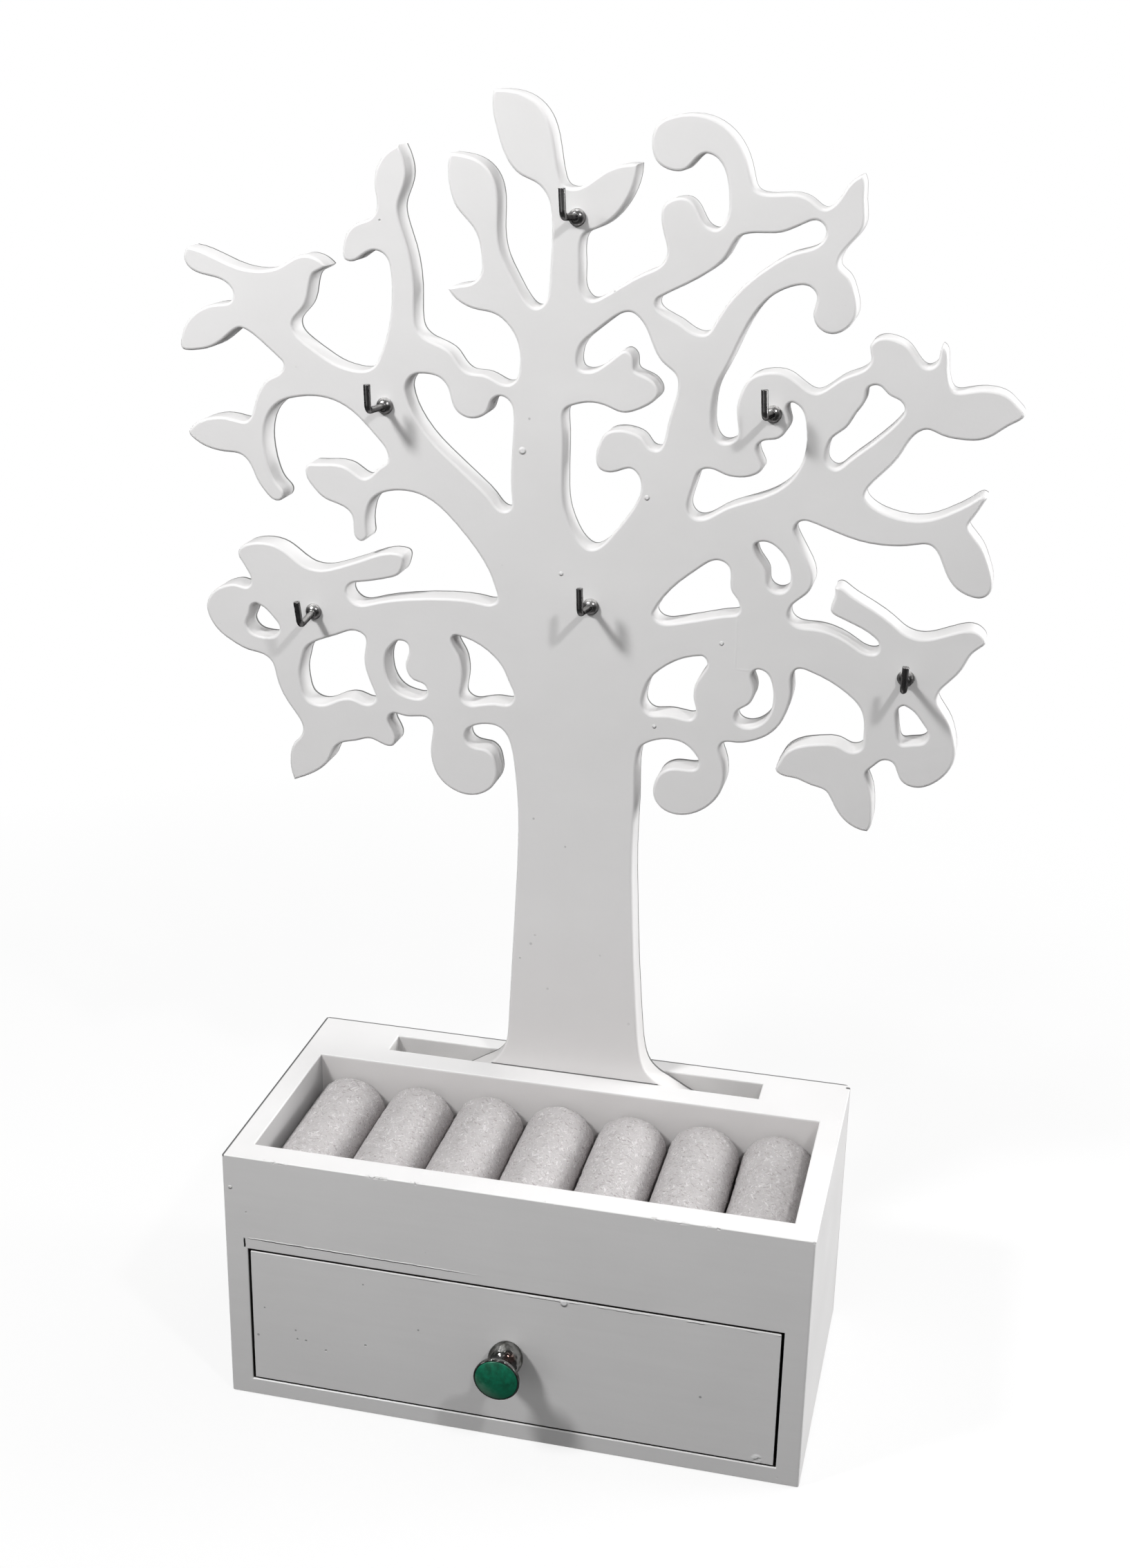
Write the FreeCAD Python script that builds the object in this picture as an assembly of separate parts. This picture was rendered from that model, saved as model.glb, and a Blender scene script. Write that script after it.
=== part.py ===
import FreeCAD, Part
import math
import os

# Jewelry stand with drawer: a painted box with a ring tray on top, a drawer below, and a
# flat cut-out tree with hooks that stands in a slot behind the tray.
# Millimetres, +Z up, front towards -Y. The origin is the centre of the box's underside.

# Box
box_width = 200.0
box_depth = 104.0
box_height = 95.0
side_thickness = 8.0
front_thickness = 9.3
back_thickness = 7.5
bottom_thickness = 6.3
divider_thickness = 3.6
divider_top = 63.0
housing_depth = 1.0

# Slot that the tree stands in
slot_length = 138.0
slot_width = 11.4
slot_front_y = 33.1

# Tray wall between the ring rolls and the slot
tray_wall_thickness = 9.8

# Tree
tree_thickness = 10.8
tree_gap = 0.3
foot_shoulder_z = 82.0

# Hooks
wire_radius = 1.1
hook_reach = 13.4
hook_rise = 8.5
hook_bend_radius = 1.9
hook_thread_length = 8.0
collar_radius = 2.8
collar_height = 2.3
collar_shoulder_radius = 2.25
collar_shoulder_height = 1.5
collar_crown_radius = 0.66
thread_clearance = 0.05
pilot_lead = 1.0

# Drawer
drawer_side_gap = 1.0
drawer_top_gap = 0.7
drawer_bottom_gap = 0.8
drawer_runner_gap = 0.3
drawer_front_thickness = 9.0
drawer_wall_thickness = 6.0
drawer_wall_height = 42.0
drawer_back_gap = 2.5
drawer_floor_thickness = 3.0
drawer_floor_rise = 2.0
groove_depth = 2.0
liner_thickness = 1.2
liner_gap = 0.4

# Knob
knob_x = 0.2
knob_z = 34.8
knob_ball_radius = 5.9
knob_ball_centre = 4.0
knob_neck_radius = 3.2
knob_cap_radius = 7.85
knob_flare_radius = 4.3
knob_flare_length = 3.3
knob_rim_front = 15.6
knob_rim_thickness = 1.4
knob_face_radius = 7.25
knob_face_dome = 1.5
knob_face_stand = 0.1
knob_socket_depth = 0.6
screw_radius = 1.6
screw_head_radius = 3.2
screw_head_height = 2.0
screw_slot_width = 0.8
screw_slot_depth = 0.9
screw_hole_clearance = 0.2
screw_grip = 9.0

# Ring rolls
roll_count = 7
roll_side_gap = 0.15
roll_end_gap = 0.3

half_width = box_width / 2
front_y = -box_depth / 2
back_y = box_depth / 2
inner_half = half_width - side_thickness
tray_front_y = front_y + front_thickness
tray_wall_front_y = slot_front_y - tray_wall_thickness
slot_back_y = slot_front_y + slot_width
opening_top = divider_top - divider_thickness
tree_front_y = slot_front_y + tree_gap
tree_foot_half = slot_length / 2 - tree_gap
tree_foot_z = divider_top + tree_gap


def block(x0, x1, y0, y1, z0, z1):
    return Part.makeBox(x1 - x0, y1 - y0, z1 - z0, FreeCAD.Vector(x0, y0, z0))


def rod(radius, start, end):
    axis = end - start
    return Part.makeCylinder(radius, axis.Length, start, axis)


# Outline of the tree's front face as (x, z), clockwise from the left end of its foot.
# Each stretch is one smooth curve, and the stretches meet at the points of the leaves.
left_trunk_and_scroll = [
    (-tree_foot_half, foot_shoulder_z), (-56.1, 83.8), (-47.1, 86.1), (-40.4, 89),
    (-33.6, 93.2), (-29.1, 96.1), (-26.2, 100), (-24.4, 104.2), (-23.6, 111), (-22.7, 132),
    (-21.6, 157), (-20.8, 178), (-20.8, 196), (-21.9, 209), (-23.1, 217), (-24.9, 222.3),
    (-27.8, 225.2), (-32.2, 225.9), (-36.4, 225), (-39.4, 222.6), (-39.7, 220), (-38.3, 218),
    (-35.4, 217.1), (-32.4, 216.7), (-30, 214.9), (-28.6, 211.1), (-28.3, 207.5),
    (-29.3, 204.2), (-32.5, 200.9), (-38.5, 199.1), (-44.5, 200.6), (-49.2, 204.3),
    (-51.9, 210), (-52.4, 215), (-51.7, 220.5), (-51.7, 223.8), (-53.4, 225.9),
    (-57.5, 226.2), (-62.5, 226.1), (-66.2, 226.4), (-67.5, 224.8), (-66.7, 221.1),
    (-65.2, 216.8), (-66.1, 214.7), (-68.6, 214.4), (-74.5, 216.4), (-80, 215),
    (-85.5, 213.5), (-87.8, 211.3), (-89.8, 207), (-93.5, 203), (-98, 200.3),
    (-103.2, 198.1),
]
left_branches_and_bird = [
    (-103.2, 198.1), (-104.4, 202.5), (-104.4, 207.5), (-102.9, 212), (-100.4, 214.8),
    (-99.4, 217.6), (-100.6, 221.2), (-104, 226), (-107, 231), (-108.9, 237),
    (-110.2, 241.3), (-113, 243.6), (-118.5, 244.8), (-124.5, 247.4), (-129.5, 250.9),
    (-132.6, 255.2), (-133.7, 259.5), (-132.7, 263), (-129.8, 266.1), (-126.1, 267.9),
    (-122.5, 268.4), (-119.4, 267.8), (-117.4, 268.5), (-116.9, 270.8), (-118, 273.4),
    (-120, 276.6), (-121.2, 279), (-120.6, 281.2), (-117.7, 283.1), (-112.5, 284),
    (-106.8, 283.1), (-101.2, 279.6), (-96.3, 276.6), (-91, 276), (-84.1, 277.8),
    (-76.1, 280.8), (-69.6, 283.3), (-64.5, 283.9), (-61.7, 282.9), (-61.7, 279.8),
    (-63.2, 276.6), (-67.5, 274.7), (-77, 272.7), (-80.8, 271.5), (-82, 269), (-80.9, 266.5),
    (-78.2, 264.9), (-73.1, 265.7), (-65.1, 267.6), (-55, 269), (-43, 269.7), (-35, 269.1),
    (-31.1, 268.8), (-29, 270), (-29.3, 274), (-31.5, 279.7), (-36.5, 287.6), (-43.5, 295.7),
    (-50.5, 301.9), (-57, 304.8), (-63.5, 305.2), (-69, 303.9), (-72.6, 301), (-74.2, 296.5),
    (-74.4, 291.5), (-74.6, 288.1), (-76.5, 287), (-78.4, 288), (-79.2, 292), (-80, 296.2),
    (-82.5, 298.3), (-89.3, 300.8), (-93.3, 304.4), (-95.8, 309.4), (-95, 311.8),
    (-91.5, 312.5), (-86.5, 312.8), (-80.8, 311.8), (-77.1, 309.4), (-75.2, 308.7),
    (-72.9, 309.6), (-69.6, 312.7), (-66.7, 315.2), (-67.1, 318.2), (-70.8, 323),
    (-77.3, 329.5), (-83.5, 333.3), (-91, 334.9), (-98.5, 334.2), (-104, 332.3),
    (-108, 328.3), (-109.8, 323), (-109.7, 315), (-108.2, 308.8), (-106, 304.7),
    (-103.7, 301.7), (-104.4, 299.5), (-106.8, 298.8), (-110, 301), (-113.5, 306),
    (-115.9, 311.2), (-118.5, 313.6), (-124, 314.3), (-130.5, 315.4), (-135.5, 318),
    (-137.2, 320.2), (-135.9, 322.4), (-131.6, 325), (-126, 326.2), (-120, 325.5),
    (-116.4, 325.3), (-114.4, 327.3), (-113.2, 331), (-111.2, 335.9), (-107.6, 340.1),
    (-103.5, 342.4), (-102.5, 344.8), (-104.1, 346.9), (-108.5, 350.6), (-113.4, 354.4),
    (-117.3, 355.9), (-121.5, 353.4), (-127.5, 349.3), (-134, 347.8), (-138.4, 348.4),
    (-138.4, 351.6), (-136.1, 357), (-131.6, 361.2), (-124.1, 363.5), (-120.4, 364.4),
    (-119.3, 366.8), (-121.2, 370), (-126.9, 372.1), (-133, 373.7), (-135.9, 376.8),
    (-135.5, 380.2), (-134.6, 381.4),
]
left_bird_back = [
    (-134.6, 381.4), (-129.8, 380.3), (-122.3, 377.3), (-115.9, 375.3), (-109, 374.9),
    (-102.6, 376.5), (-98.1, 379.2), (-94, 380.4), (-89.8, 379.5), (-86.7, 377.2),
]
left_bird_breast_and_twig = [
    (-86.7, 377.2), (-88.6, 375.9), (-91, 374.6), (-92.1, 372.5), (-92.8, 368.8),
    (-94.6, 363.9), (-97.2, 361), (-98.8, 358.4), (-98.2, 355.7), (-95.5, 353),
    (-89.7, 349.1), (-84.3, 346.1), (-78.9, 344.6), (-74.1, 344.5), (-70.9, 346.1),
    (-68.9, 349.3), (-66.8, 355), (-65.2, 362), (-64.6, 370), (-65, 377), (-66.4, 380.9),
    (-69.7, 382.7), (-73.5, 381.5), (-78, 379), (-80.4, 379.6), (-80.9, 382.8),
    (-79.8, 387.2), (-76.1, 391), (-71.1, 393.1), (-69.4, 395.7), (-69.9, 402), (-69.2, 408),
    (-66.6, 412.3), (-61.7, 415.4),
]
left_twig_and_stem = [
    (-61.7, 415.4), (-60, 411.6), (-59.2, 406.5), (-60.3, 402), (-62, 397), (-61.4, 392.1),
    (-59.2, 385.6), (-57.3, 377.6), (-56.7, 369.5), (-56.7, 362), (-55.7, 358.2),
    (-53.2, 355.9), (-48.3, 353.9), (-44.7, 351.7), (-42, 348.1), (-39, 345.8),
    (-34.4, 345.4), (-30.3, 344), (-26.6, 342.6), (-23.3, 343.9), (-21.8, 348),
    (-22.3, 355.5), (-25.3, 361), (-30.3, 364.7), (-37, 365.9), (-42, 368), (-45.8, 372),
]
left_stem_leaf = [
    (-45.8, 372), (-42.1, 373.2), (-37.7, 374.2), (-34.9, 377), (-34.6, 382), (-36.4, 389.5),
    (-39.5, 393.5), (-43, 397.3), (-45.2, 403.5), (-45.7, 409), (-44.8, 413.5),
]
top_leaf_left = [
    (-44.8, 413.5), (-40.5, 413.1), (-34.9, 411.2), (-30.8, 406.9), (-29.1, 401),
    (-29.1, 391.5), (-27.8, 383.4), (-24.3, 376.4), (-20.4, 370), (-16.9, 367.4),
    (-13.8, 369), (-12.4, 374.5), (-11.8, 385), (-11.8, 394), (-12.9, 400.5), (-16.7, 405.2),
    (-22.3, 407.7), (-26.4, 412), (-29.6, 420), (-31.3, 428), (-30.9, 432.6),
]
top_leaf_right = [
    (-30.9, 432.6), (-24.9, 432.5), (-19.2, 430.6), (-14.3, 425.9), (-11.2, 416.6),
    (-9.6, 408.1), (-8, 405), (-4.6, 404.3), (-0.1, 406.2), (5.4, 410), (9.9, 411.6),
    (15.1, 412),
]
right_curls = [
    (15.1, 412), (14.5, 407), (12.1, 401.2), (7.5, 395.4), (2.5, 392.3), (-1.4, 390.4),
    (-2.5, 387), (-2.3, 380), (-1.6, 372.9), (0.7, 370.6), (4.4, 371.5), (10.9, 375.5),
    (17.9, 379.5), (23.4, 382.5), (25, 385.3), (24.3, 390.2), (22.9, 396), (23.6, 400.2),
    (26.9, 402.4), (31.2, 402.3), (34.6, 398.6), (37.5, 394.4), (40.2, 393.7), (43.1, 396.5),
    (43.8, 402), (42.5, 410), (39.3, 414.7), (35.8, 415.7), (32.6, 413.4), (30, 410.9),
    (25.5, 410.5), (21, 412.9), (19.2, 418), (20.9, 423.9), (25.9, 426.5), (33.1, 427.1),
    (40.8, 424.5), (46.4, 419), (50.1, 410), (51.8, 405.8), (56, 404.6), (62, 405),
    (68.7, 403.5), (73, 401), (76.1, 402.7), (79.4, 407.6), (82.5, 410.6), (83.8, 411.1),
]
right_bird = [
    (83.8, 411.1), (84.5, 409.7), (84.9, 404.5), (85.3, 396.5), (82.3, 391.8), (79, 387.5),
    (78.5, 384.3), (80.9, 382), (83.7, 377.1), (84.8, 370), (82.5, 366), (77.5, 363.8),
    (72.9, 366), (71.6, 370.3), (72.3, 375), (70.2, 377.6), (64.5, 377.5), (58.5, 374.4),
    (53.5, 368.8), (49, 359.8), (45.3, 351.5), (42.6, 345.9), (41.6, 341), (41.4, 335.5),
    (42.2, 331.2), (44.5, 328.4), (47.2, 328.4), (49.8, 330.5), (49.8, 334), (49.2, 339.5),
    (50.5, 344.8), (53.1, 349.1), (58.4, 351.2), (64.1, 350.9), (69.2, 347.8), (73.8, 345.7),
    (77.4, 347.4), (82.9, 351.3), (88.4, 353.9), (90.2, 356.8), (89.7, 361), (91.4, 363),
    (96.1, 363.5), (101.1, 361.4), (104.6, 357.2), (107.5, 355.2), (110.3, 356.8),
    (111, 360.6), (111.6, 362),
]
right_wing_and_leaf = [
    (111.6, 362), (112.8, 360.9), (113.6, 357.6), (114.3, 351.9), (116.2, 348.6),
    (120.5, 348.8), (127, 349.5), (132.5, 348.1), (136.2, 344.9), (138, 342.3),
    (136.5, 340.6), (133.3, 338.7), (129.5, 335.8), (125, 333.9), (119.5, 333.7),
    (113, 334.9), (108.8, 336.2), (105.7, 334.7), (101.5, 328), (97, 322.3), (92.3, 317),
    (91.3, 314.3), (93.3, 311.6), (99.1, 308.8), (106.3, 307.6), (113.4, 308.7),
    (119.9, 311.8), (124.9, 315), (128, 316.7), (129.2, 316.1),
]
right_branches = [
    (129.2, 316.1), (128.6, 315.2), (127.6, 313.3), (125.2, 309.2), (124.2, 306.9),
    (125.4, 304.6), (128.7, 300.8), (131.6, 294.8), (133.1, 290), (132.7, 285.9),
    (130.7, 284.1), (126.5, 284.2), (121.5, 286.9), (117.7, 292.7), (115.7, 297),
    (113, 299.7), (107.5, 299.4), (99, 298.6), (91, 299.4), (83, 301.7), (75.5, 304.3),
    (71.8, 304.6), (69.8, 302.3), (70.8, 298.8), (73.9, 293.5), (76.5, 287.9), (76.6, 284),
    (74.8, 280.8), (71.5, 277.9), (69.7, 275.4), (69.8, 272.1), (72, 270.2), (78.1, 269.6),
    (84.1, 268.5), (90.2, 265.6), (95.6, 262.8), (98.6, 263.3), (99.2, 265.8), (97, 268.6),
    (91, 271.8), (85.5, 274), (83, 275.8), (83.6, 279.5), (84, 282), (83.8, 283.6),
]
right_hook_leaf = [
    (83.8, 283.6), (85, 284.1), (88.2, 282.5), (94.3, 278.9), (102.8, 273.7), (107.2, 270.4),
    (112.5, 269.1), (118.4, 270.5), (123.9, 272.6), (128.1, 273.3), (131.6, 271.7),
    (132.8, 269.4), (131, 267.4), (128.8, 265.2), (126.5, 260.5), (122.5, 255.3),
    (119.8, 251.9), (119.2, 249.3), (120.6, 246.2), (123.7, 241.7), (125.7, 236.4),
    (126.6, 230.5), (125.1, 225.4), (121, 220.6), (114.5, 218.1), (109.8, 220), (108, 223.5),
    (106.4, 226.1), (103.3, 226.5), (100.3, 224), (98.2, 221.4), (99.1, 218.4),
    (100.7, 213.6), (101.3, 207.5), (101.1, 203.2), (99.9, 200.9),
]
right_scroll_and_trunk = [
    (99.9, 200.9), (95.5, 201.9), (91, 205.2), (87.7, 210.2), (85, 214), (80.5, 215.3),
    (75, 217.2), (70, 218), (68.2, 219.5), (69, 222.5), (70.9, 225.9), (74.9, 228.7),
    (82, 230.4), (88.6, 230.3), (93, 228.7), (95.8, 230), (96.4, 233.5), (96.3, 238.5),
    (95, 243.2), (90.5, 248), (84, 252.1), (77.5, 254.8), (73.2, 255.2), (71.7, 252.8),
    (71.9, 248), (71.2, 242), (69.3, 236.8), (65.5, 232), (60, 229), (54, 227.8),
    (50, 227.3), (48.9, 225.4), (49.7, 222.1), (51, 216.5), (50.6, 211.5), (48, 206.3),
    (43.8, 202.4), (36, 199.8), (30, 201.5), (26.9, 206), (27.3, 211.3), (29.6, 215),
    (33.4, 216.7), (38.4, 216.7), (41.3, 217.5), (42, 219.7), (40.8, 222.2), (37, 225.6),
    (31.5, 226.7), (25.8, 225.5), (21.8, 222.6), (20.9, 219.5), (20.7, 205), (20.4, 188),
    (20.9, 168), (21.9, 148), (23.1, 130), (24.3, 116), (25.6, 105.6), (27.8, 99.6),
    (31.6, 96), (36.4, 93.4), (41.2, 90.6), (46.2, 88.2), (55.1, 84.9),
    (tree_foot_half, foot_shoulder_z),
]
outer_stretches = [
    left_trunk_and_scroll, left_branches_and_bird, left_bird_back, left_bird_breast_and_twig,
    left_twig_and_stem, left_stem_leaf, top_leaf_left, top_leaf_right, right_curls,
    right_bird, right_wing_and_leaf, right_branches, right_hook_leaf, right_scroll_and_trunk,
]

# Holes in the tree, each a closed smooth loop of (x, z).
hole_left_of_stem = [
    (-60.1, 338.5), (-59.4, 335.6), (-58, 332.2), (-55.2, 327.6), (-51.9, 323.5),
    (-44.7, 316.8), (-37.2, 310.4), (-31, 304.5), (-28.9, 302), (-26.8, 301), (-24.4, 302.2),
    (-24.1, 306), (-24.4, 313), (-23.9, 325), (-23.7, 333), (-24.8, 336.8), (-28.2, 338.6),
    (-30.9, 337), (-32.2, 333.6), (-34.3, 331.7), (-37.8, 330.8), (-41.3, 331.7),
    (-43.6, 333.8), (-44.8, 336.7), (-45.8, 340.2), (-48.3, 343.2), (-53, 344.4),
    (-58, 343.4),
]
hole_right_of_stem = [
    (-2.7, 352.8), (-1.2, 356.9), (3, 360.8), (8.8, 365.4), (14, 367.4), (18.2, 364.3),
    (21.3, 358.1), (25, 352.2), (29.5, 348.2), (30, 344), (28.6, 338), (27.2, 332.5),
    (26.1, 327), (24.4, 324.7), (21.9, 324.9), (19.6, 327.6), (15.6, 329.8), (11, 330.2),
    (7.6, 329.2), (5, 325.3), (4, 321), (5.2, 317.2), (8.5, 316.1), (12.5, 317.1),
    (15.7, 317.8), (18.3, 315.6), (19.2, 311.5), (18, 307.3), (14.5, 301.5), (10.4, 296.1),
    (6.4, 291.8), (2.8, 290.4), (-0.2, 292.1), (-3.6, 297.2), (-5.9, 303.6), (-6.6, 311),
    (-6.6, 321), (-6.9, 331), (-6.6, 335.3), (-3, 337.4), (2.5, 338.3), (7.5, 337.3),
    (12.3, 335.7), (17.5, 336.9), (21.9, 339.4), (24, 342.2), (22.7, 345.7), (18.8, 348),
    (16, 349.5), (15.5, 353), (13, 355.4), (9.4, 353.4), (5.4, 350.2), (0.9, 348.2),
    (-1.9, 348.8),
]
hole_crescent = [
    (23.2, 372.3), (30.9, 376.3), (38.5, 380.7), (44, 386), (47.6, 391.7), (52.5, 393),
    (60, 393.4), (67, 396.3), (71.5, 397.3), (73.9, 394.5), (72.1, 390.6), (64.9, 387.8),
    (57.9, 384), (50.4, 378), (44.8, 371.6), (41.3, 365.8), (38.2, 361.9), (34.6, 362.1),
    (29.6, 365.1), (24.3, 367.7), (22.2, 370.2),
]
hole_under_bird = [
    (89.5, 346), (91, 348.7), (93.3, 348.8), (96.3, 346.3), (100.2, 344.4), (101.6, 342),
    (100.3, 339), (96.2, 334.5), (89.9, 328.9), (84.9, 324.6), (81.2, 322.2), (78.9, 323.6),
    (78.3, 327.3), (80, 331.9), (84, 335.3), (87.1, 340.4),
]
hole_behind_breast = [
    (67.3, 342), (70, 339.8), (71.5, 335), (71.9, 329.5), (70.8, 323.5), (67.2, 317.4),
    (61.9, 313.3), (53.9, 310), (45.9, 306.6), (40.5, 303.4), (37.4, 303.2), (35.1, 305.6),
    (35.4, 310), (36.8, 314.9), (38.4, 318.6), (41.5, 319.5), (46.3, 317.9), (51.3, 317.3),
    (56.1, 318.5), (58.2, 320.4), (56.9, 324.5), (56.3, 327.5), (58, 329.4), (62.3, 330.3),
    (65.2, 332.9), (66, 335.4), (65.1, 339), (65.4, 341.4),
]
hole_kidney = [
    (57.8, 296.4), (61, 297), (65, 294.9), (68.1, 291), (69.4, 285.5), (67.9, 281.6),
    (64.9, 280.8), (62.2, 282.8), (61.6, 286.7), (59.3, 290.4), (57.4, 293.9),
]
hole_sail = [
    (24.9, 270.7), (27.6, 275.3), (33, 281.4), (39, 286.3), (46, 289.7), (49, 288),
    (49.8, 283.5), (50.4, 279.8), (52.9, 276.3), (53, 273), (49.4, 271.7), (40.9, 269.7),
    (32.9, 267.8), (28, 267.2), (25.7, 268.3),
]
hole_left_bean = [
    (-114.7, 261.9), (-111.9, 260.3), (-108.6, 256.9), (-107, 254), (-108.7, 251.1),
    (-113, 250.4), (-117.3, 251.6), (-119, 254.5), (-117.6, 258.5), (-116.9, 261),
]
hole_left_large = [
    (-98.5, 244.5), (-96.4, 248.4), (-91.8, 251), (-85, 253.6), (-79.4, 255.2),
    (-75.8, 253.3), (-75.7, 249.3), (-76.2, 245), (-75, 239.4), (-73, 234.5), (-72.3, 231.2),
    (-74.8, 229.3), (-80.6, 230.6), (-86.1, 229.8), (-90.6, 227.7), (-94.4, 227.4),
    (-97.6, 229.1), (-99.4, 234.1), (-99.7, 239.5),
]
hole_left_crescent = [
    (-62.8, 253.1), (-60.3, 251.8), (-60.1, 249), (-61.2, 245.3), (-60.5, 241.6),
    (-58, 239.2), (-54.6, 238), (-53.6, 235.6), (-55.4, 233.4), (-59.9, 233.2),
    (-64.3, 234.9), (-67.4, 238.9), (-68.5, 244.4), (-67.7, 249), (-65.6, 251.7),
]
hole_left_fin = [
    (-42.8, 256.7), (-37.8, 255.4), (-31.5, 251.8), (-26.8, 246.8), (-24, 240.8),
    (-22.7, 236.4), (-24.4, 234.1), (-28.5, 233.9), (-34, 233.2), (-38.9, 232.7),
    (-41.1, 234.4), (-41, 239), (-40.7, 244), (-41.9, 249.3), (-44.2, 253.4), (-44.3, 256),
]
hole_right_fin = [
    (41.3, 256.9), (35.5, 255.6), (29, 252), (24.3, 247.2), (22.3, 241.8), (22.3, 237.4),
    (24.3, 235.3), (29.5, 235.3), (35.5, 234.8), (39.1, 235), (40.3, 237.3), (39.5, 241.3),
    (40, 247.6), (42.4, 251.8), (43.4, 254.8),
]
hole_right_crescent = [
    (61, 254), (63.6, 252.7), (65.4, 249), (66, 243.5), (64.6, 238.2), (60.7, 234.5),
    (56.6, 233.8), (53.9, 235.6), (54.3, 238.8), (57.6, 241.3), (59.5, 244.6), (59.3, 248.4),
    (58.4, 251.9),
]
hole_teardrop = [
    (109.2, 245.9), (112.2, 244.1), (115.4, 240.3), (117.2, 236.9), (115.9, 234.2),
    (111.9, 233.2), (108.8, 232.9), (107.5, 235.6), (106.8, 240.3), (107.1, 244.8),
]
holes = [
    hole_left_of_stem, hole_right_of_stem, hole_crescent, hole_under_bird,
    hole_behind_breast, hole_kidney, hole_sail, hole_left_bean, hole_left_large,
    hole_left_crescent, hole_left_fin, hole_right_fin, hole_right_crescent, hole_teardrop,
]

# Hooks: where each shank leaves the tree, and how far it is turned (yaw), tipped up
# (pitch) and rolled, in degrees, because they are screwed in by hand.
hooks = {
    "hook_top": {"x": -3.6, "z": 395.6, "yaw": -6.1, "pitch": 4.8, "roll": 5.3},
    "hook_upper_left": {"x": -67.3, "z": 333.3, "yaw": -5.7, "pitch": 2.0, "roll": 2.9},
    "hook_upper_right": {"x": 60.9, "z": 338.3, "yaw": -3.3, "pitch": 4.9, "roll": 4.6},
    "hook_centre": {"x": 3.6, "z": 270.9, "yaw": -2.7, "pitch": 4.4, "roll": 3.3},
    "hook_lower_left": {"x": -94.0, "z": 261.1, "yaw": 0.0, "pitch": -5.8, "roll": 5.2},
    "hook_lower_right": {"x": 108.6, "z": 255.7, "yaw": 1.4, "pitch": -2.6, "roll": -1.2},
}


def face_point(point):
    return FreeCAD.Vector(point[0], tree_front_y, point[1])


def smooth_curve(points, closed):
    curve = Part.BSplineCurve()
    curve.interpolate(Points=[face_point(point) for point in points], PeriodicFlag=closed)
    return curve.toShape()


def tree_face():
    edges = [smooth_curve(stretch, False) for stretch in outer_stretches]
    corners = [
        (tree_foot_half, foot_shoulder_z), (tree_foot_half, tree_foot_z),
        (-tree_foot_half, tree_foot_z), (-tree_foot_half, foot_shoulder_z),
    ]
    for start, end in zip(corners, corners[1:]):
        edges.append(Part.LineSegment(face_point(start), face_point(end)).toShape())
    outer = Part.Wire(edges)
    inner = [Part.Wire([smooth_curve(hole, True)]) for hole in holes]
    return Part.makeFace([outer] + inner, "Part::FaceMakerBullseye")


def hook_placement(hook):
    # The hook is drawn with its shank along -Y and its tip up.
    turn = FreeCAD.Rotation(FreeCAD.Vector(0, 0, 1), hook["yaw"])
    tip = FreeCAD.Rotation(FreeCAD.Vector(1, 0, 0), -hook["pitch"])
    roll = FreeCAD.Rotation(FreeCAD.Vector(0, 1, 0), -hook["roll"])
    base = FreeCAD.Vector(hook["x"], tree_front_y, hook["z"])
    return FreeCAD.Placement(base, turn.multiply(tip).multiply(roll))


def hook_shape(hook):
    bend = hook_bend_radius
    inside = FreeCAD.Vector(0, hook_thread_length, 0)
    bend_start = FreeCAD.Vector(0, bend - hook_reach, 0)
    bend_end = FreeCAD.Vector(0, -hook_reach, bend)
    bend_mid = FreeCAD.Vector(0, bend - hook_reach - bend * math.sin(math.radians(45)),
                              bend - bend * math.cos(math.radians(45)))
    tip = FreeCAD.Vector(0, -hook_reach, hook_rise)
    path = Part.Wire([
        Part.LineSegment(inside, bend_start).toShape(),
        Part.Arc(bend_start, bend_mid, bend_end).toShape(),
        Part.LineSegment(bend_end, tip).toShape(),
    ])
    section = Part.Wire([Part.Circle(inside, FreeCAD.Vector(0, 1, 0), wire_radius).toShape()])
    wire = path.makePipeShell([section], True, True)
    wire.Placement = hook_placement(hook)
    seat = collar()
    seat.translate(hook_placement(hook).Base)
    return wire.fuse(seat).removeSplitter()


def collar():
    # A low dome that sits flat against the tree, whichever way the wire leans.
    rim = FreeCAD.Vector(collar_radius, 0, 0)
    shoulder = FreeCAD.Vector(collar_shoulder_radius, -collar_shoulder_height, 0)
    crown = FreeCAD.Vector(collar_crown_radius, -collar_height, 0)
    crown_axis = FreeCAD.Vector(0, -collar_height, 0)
    centre = FreeCAD.Vector(0, 0, 0)
    profile = Part.Wire([
        Part.Arc(rim, shoulder, crown).toShape(),
        Part.LineSegment(crown, crown_axis).toShape(),
        Part.LineSegment(crown_axis, centre).toShape(),
        Part.LineSegment(centre, rim).toShape(),
    ])
    return Part.Face(profile).revolve(centre, FreeCAD.Vector(0, 1, 0), 360)


def tree_panel():
    panel = tree_face().extrude(FreeCAD.Vector(0, tree_thickness, 0))
    for hook in hooks.values():
        # The pilot hole starts in front of the face and ends with the thread.
        start = FreeCAD.Vector(0, -pilot_lead, 0)
        end = FreeCAD.Vector(0, hook_thread_length + thread_clearance, 0)
        pilot = rod(wire_radius + thread_clearance, start, end)
        pilot.Placement = hook_placement(hook)
        panel = panel.cut(pilot)
    return panel


def side_panel(sign):
    outer = sign * half_width
    inner = sign * inner_half
    x0, x1 = min(outer, inner), max(outer, inner)
    panel = block(x0, x1, front_y, back_y, 0, box_height)
    groove_x = sign * (inner_half + housing_depth)
    g0, g1 = min(inner, groove_x), max(inner, groove_x)
    return panel.cut(block(g0, g1, front_y, slot_back_y, opening_top, divider_top))


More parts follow.
